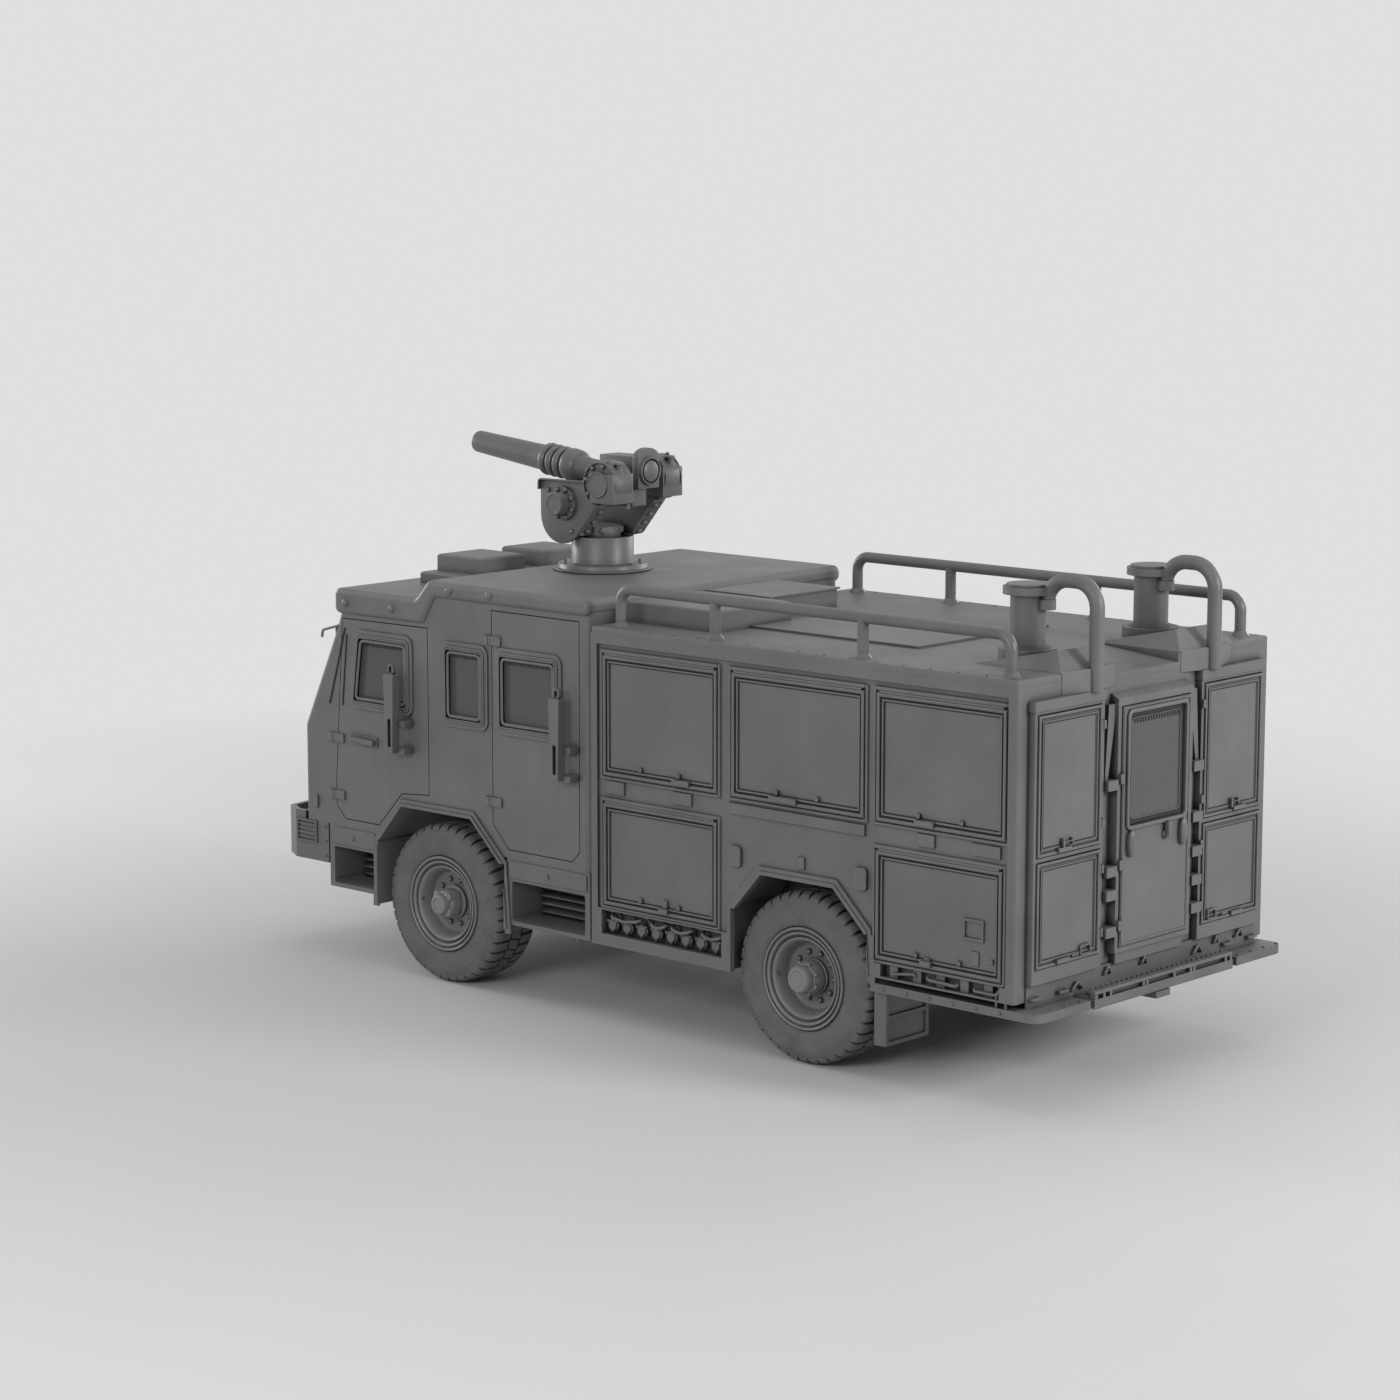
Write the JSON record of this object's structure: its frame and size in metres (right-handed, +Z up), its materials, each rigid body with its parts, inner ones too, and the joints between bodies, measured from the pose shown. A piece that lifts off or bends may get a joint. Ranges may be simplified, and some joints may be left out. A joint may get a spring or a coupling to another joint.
{
  "type": "airport fire truck",
  "caption": "Two-axle airport fire truck with a hollow crew cab, roof water monitor, lift-up side lockers, rear cabinets and stacks; wheels roll and steer.",
  "frame": {"origin": "centre of the bounding box in plan, on the ground under the tyres", "axes": "+X forward, +Y to the truck's left, +Z up"},
  "size_m": [6.545, 2.674, 3.5271],
  "materials": {
    "body_paint": "satin",
    "cab_paint": "satin",
    "trim_paint": "satin",
    "chassis_paint": "satin",
    "wheel_paint": "satin",
    "tyre": "matt",
    "glass": "clear",
    "lamp": "ribbed",
    "seat": "woven",
    "dash": "grained",
    "cast": "rough",
    "step_metal": "brushed",
    "tank": "plain"
  },
  "bodies": {
    "truck": {"chassis_frame": "chassis_paint", "front_axle": "cast", "rear_axle": "cast", "leaf_springs": "chassis_paint", "engine_and_shafts": "cast", "water_tank": "tank", "cab_shell": "cab_paint", "cab_glass": "glass", "cab_seats": "seat", "dash_and_wheel": "dash", "front_bumper": "trim_paint", "head_lamps": "lamp", "body_shell": "body_paint", "rear_frame": "body_paint", "roof_rails": "trim_paint", "roof_plate_and_boxes": "body_paint", "body_side_left": "body_paint", "body_side_right": "body_paint", "rear_cabinets": "body_paint", "cab_steps_left": "cab_paint", "cab_steps_right": "cab_paint", "stacks_and_pipes": "body_paint", "rear_platform": "step_metal", "monitor_base": "trim_paint"},
    "wheel_front_left_body": {"tyre_front_left": "tyre", "wheel_front_left": "wheel_paint"},
    "wheel_front_right_body": {"tyre_front_right": "tyre", "wheel_front_right": "wheel_paint"},
    "wheel_rear_left_body": {"tyre_rear_left": "tyre", "wheel_rear_left": "wheel_paint"},
    "wheel_rear_right_body": {"tyre_rear_right": "tyre", "wheel_rear_right": "wheel_paint"},
    "knuckle_left_body": {"knuckle_left": "cast"},
    "knuckle_right_body": {"knuckle_right": "cast"},
    "front_door_left_body": {"front_door_left": "cab_paint", "front_door_glass_left": "glass"},
    "front_door_right_body": {"front_door_right": "cab_paint", "front_door_glass_right": "glass"},
    "crew_door_left_body": {"crew_door_left": "cab_paint", "crew_door_glass_left": "glass"},
    "crew_door_right_body": {"crew_door_right": "cab_paint", "crew_door_glass_right": "glass"},
    "locker_upper_front_left_body": {"locker_upper_front_left": "body_paint"},
    "locker_upper_front_right_body": {"locker_upper_front_right": "body_paint"},
    "locker_upper_middle_left_body": {"locker_upper_middle_left": "body_paint"},
    "locker_upper_middle_right_body": {"locker_upper_middle_right": "body_paint"},
    "locker_upper_rear_left_body": {"locker_upper_rear_left": "body_paint"},
    "locker_upper_rear_right_body": {"locker_upper_rear_right": "body_paint"},
    "locker_lower_front_left_body": {"locker_lower_front_left": "body_paint"},
    "locker_lower_front_right_body": {"locker_lower_front_right": "body_paint"},
    "locker_lower_rear_left_body": {"locker_lower_rear_left": "body_paint"},
    "locker_lower_rear_right_body": {"locker_lower_rear_right": "body_paint"},
    "cabinet_door_upper_left_body": {"cabinet_door_upper_left": "body_paint"},
    "cabinet_door_upper_right_body": {"cabinet_door_upper_right": "body_paint"},
    "cabinet_door_lower_left_body": {"cabinet_door_lower_left": "body_paint"},
    "cabinet_door_lower_right_body": {"cabinet_door_lower_right": "body_paint"},
    "rear_door_body": {"rear_door": "body_paint", "rear_door_glass": "glass"},
    "monitor_yoke_body": {"monitor_yoke": "trim_paint"},
    "monitor_barrel_body": {"monitor_barrel": "trim_paint"}
  },
  "joints": [
    {"name": "roll_front_left", "type": "hinge", "parent": "knuckle_left_body", "child": "wheel_front_left_body", "pos_m": [1.6625, 1, 0.53], "axis": [0, 1, 0], "continuous": true},
    {"name": "roll_front_right", "type": "hinge", "parent": "knuckle_right_body", "child": "wheel_front_right_body", "pos_m": [1.6625, -1, 0.53], "axis": [0, 1, 0], "continuous": true},
    {"name": "roll_rear_left", "type": "hinge", "parent": "truck", "child": "wheel_rear_left_body", "pos_m": [-1.4645, 1, 0.53], "axis": [0, 1, 0], "continuous": true},
    {"name": "roll_rear_right", "type": "hinge", "parent": "truck", "child": "wheel_rear_right_body", "pos_m": [-1.4645, -1, 0.53], "axis": [0, 1, 0], "continuous": true},
    {"name": "steer_left", "type": "hinge", "parent": "truck", "child": "knuckle_left_body", "pos_m": [1.6625, 1, 0.53], "axis": [0, 0, 1], "range_deg": [-28, 28]},
    {"name": "steer_right", "type": "hinge", "parent": "truck", "child": "knuckle_right_body", "pos_m": [1.6625, -1, 0.53], "axis": [0, 0, 1], "range_deg": [-28, 28]},
    {"name": "open_front_door_left", "type": "hinge", "parent": "truck", "child": "front_door_left_body", "pos_m": [2.6845, 1.21, 1.5], "axis": [0, 0, -1], "range_deg": [0, 65]},
    {"name": "open_front_door_right", "type": "hinge", "parent": "truck", "child": "front_door_right_body", "pos_m": [2.6845, -1.21, 1.5], "axis": [0, 0, 1], "range_deg": [0, 65]},
    {"name": "open_crew_door_left", "type": "hinge", "parent": "truck", "child": "crew_door_left_body", "pos_m": [1.1775, 1.21, 1.5], "axis": [0, 0, -1], "range_deg": [0, 65]},
    {"name": "open_crew_door_right", "type": "hinge", "parent": "truck", "child": "crew_door_right_body", "pos_m": [1.1775, -1.21, 1.5], "axis": [0, 0, 1], "range_deg": [0, 65]},
    {"name": "lift_upper_front_left", "type": "hinge", "parent": "truck", "child": "locker_upper_front_left_body", "pos_m": [-0.345, 1.2413, 2.351], "axis": [1, 0, 0], "range_deg": [0, 100]},
    {"name": "lift_upper_front_right", "type": "hinge", "parent": "truck", "child": "locker_upper_front_right_body", "pos_m": [-0.345, -1.2413, 2.351], "axis": [-1, 0, 0], "range_deg": [0, 100]},
    {"name": "lift_upper_middle_left", "type": "hinge", "parent": "truck", "child": "locker_upper_middle_left_body", "pos_m": [-1.4625, 1.2413, 2.351], "axis": [1, 0, 0], "range_deg": [0, 100]},
    {"name": "lift_upper_middle_right", "type": "hinge", "parent": "truck", "child": "locker_upper_middle_right_body", "pos_m": [-1.4625, -1.2413, 2.351], "axis": [-1, 0, 0], "range_deg": [0, 100]},
    {"name": "lift_upper_rear_left", "type": "hinge", "parent": "truck", "child": "locker_upper_rear_left_body", "pos_m": [-2.5525, 1.2413, 2.351], "axis": [1, 0, 0], "range_deg": [0, 100]},
    {"name": "lift_upper_rear_right", "type": "hinge", "parent": "truck", "child": "locker_upper_rear_right_body", "pos_m": [-2.5525, -1.2413, 2.351], "axis": [-1, 0, 0], "range_deg": [0, 100]},
    {"name": "lift_lower_front_left", "type": "hinge", "parent": "truck", "child": "locker_lower_front_left_body", "pos_m": [-0.345, 1.2413, 1.418], "axis": [1, 0, 0], "range_deg": [0, 100]},
    {"name": "lift_lower_front_right", "type": "hinge", "parent": "truck", "child": "locker_lower_front_right_body", "pos_m": [-0.345, -1.2413, 1.418], "axis": [-1, 0, 0], "range_deg": [0, 100]},
    {"name": "lift_lower_rear_left", "type": "hinge", "parent": "truck", "child": "locker_lower_rear_left_body", "pos_m": [-2.5425, 1.2413, 1.418], "axis": [1, 0, 0], "range_deg": [0, 100]},
    {"name": "lift_lower_rear_right", "type": "hinge", "parent": "truck", "child": "locker_lower_rear_right_body", "pos_m": [-2.5425, -1.2413, 1.418], "axis": [-1, 0, 0], "range_deg": [0, 100]},
    {"name": "swing_upper_cabinet_left", "type": "hinge", "parent": "truck", "child": "cabinet_door_upper_left_body", "pos_m": [-3.1575, 0.52, 1.8985], "axis": [0, 0, 1], "range_deg": [0, 90]},
    {"name": "swing_upper_cabinet_right", "type": "hinge", "parent": "truck", "child": "cabinet_door_upper_right_body", "pos_m": [-3.1575, -0.52, 1.8985], "axis": [0, 0, -1], "range_deg": [0, 90]},
    {"name": "swing_lower_cabinet_left", "type": "hinge", "parent": "truck", "child": "cabinet_door_lower_left_body", "pos_m": [-3.1575, 0.52, 1.1485], "axis": [0, 0, 1], "range_deg": [0, 90]},
    {"name": "swing_lower_cabinet_right", "type": "hinge", "parent": "truck", "child": "cabinet_door_lower_right_body", "pos_m": [-3.1575, -0.52, 1.1485], "axis": [0, 0, -1], "range_deg": [0, 90]},
    {"name": "swing_rear_door", "type": "hinge", "parent": "truck", "child": "rear_door_body", "pos_m": [-3.1825, 0.336, 1.5], "axis": [0, 0, -1], "range_deg": [0, 90]},
    {"name": "monitor_slew", "type": "hinge", "parent": "truck", "child": "monitor_yoke_body", "pos_m": [1.3325, 0, 2.88], "axis": [0, 0, 1], "range_deg": [-170, 170]},
    {"name": "monitor_elevate", "type": "hinge", "parent": "monitor_yoke_body", "child": "monitor_barrel_body", "pos_m": [1.1925, 0, 3.262], "axis": [0, -1, 0], "range_deg": [-10, 60]}
  ],
  "couplings": [
    {"joint": "steer_right", "follows": "steer_left", "ratio": 1}
  ]
}
